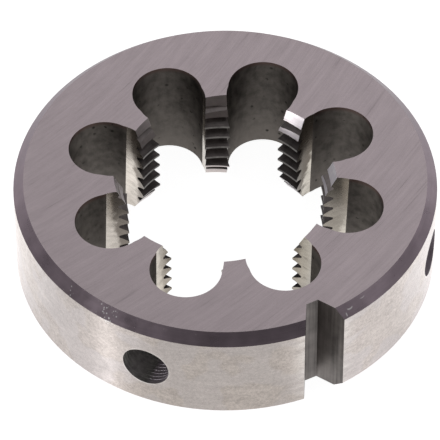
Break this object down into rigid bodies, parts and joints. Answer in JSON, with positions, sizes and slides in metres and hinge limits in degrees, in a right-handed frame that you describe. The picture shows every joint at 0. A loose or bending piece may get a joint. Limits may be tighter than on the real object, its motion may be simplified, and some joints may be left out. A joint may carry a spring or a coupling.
{
  "type": "round threading die",
  "caption": "Solid round die that cuts an external pipe thread: toothed lands between chip holes, an adjusting notch and radial screw seats in the rim.",
  "frame": {"origin": "on the thread axis, in the plane of the back face", "axes": "+Z along the thread axis from the back face to the entry face; the adjusting notch faces -Y"},
  "size_m": [0.065, 0.0648, 0.018],
  "materials": {
    "tool_steel": "ground and polished tool steel"
  },
  "bodies": {
    "root": {"threading_die": "tool_steel"}
  },
  "joints": []
}
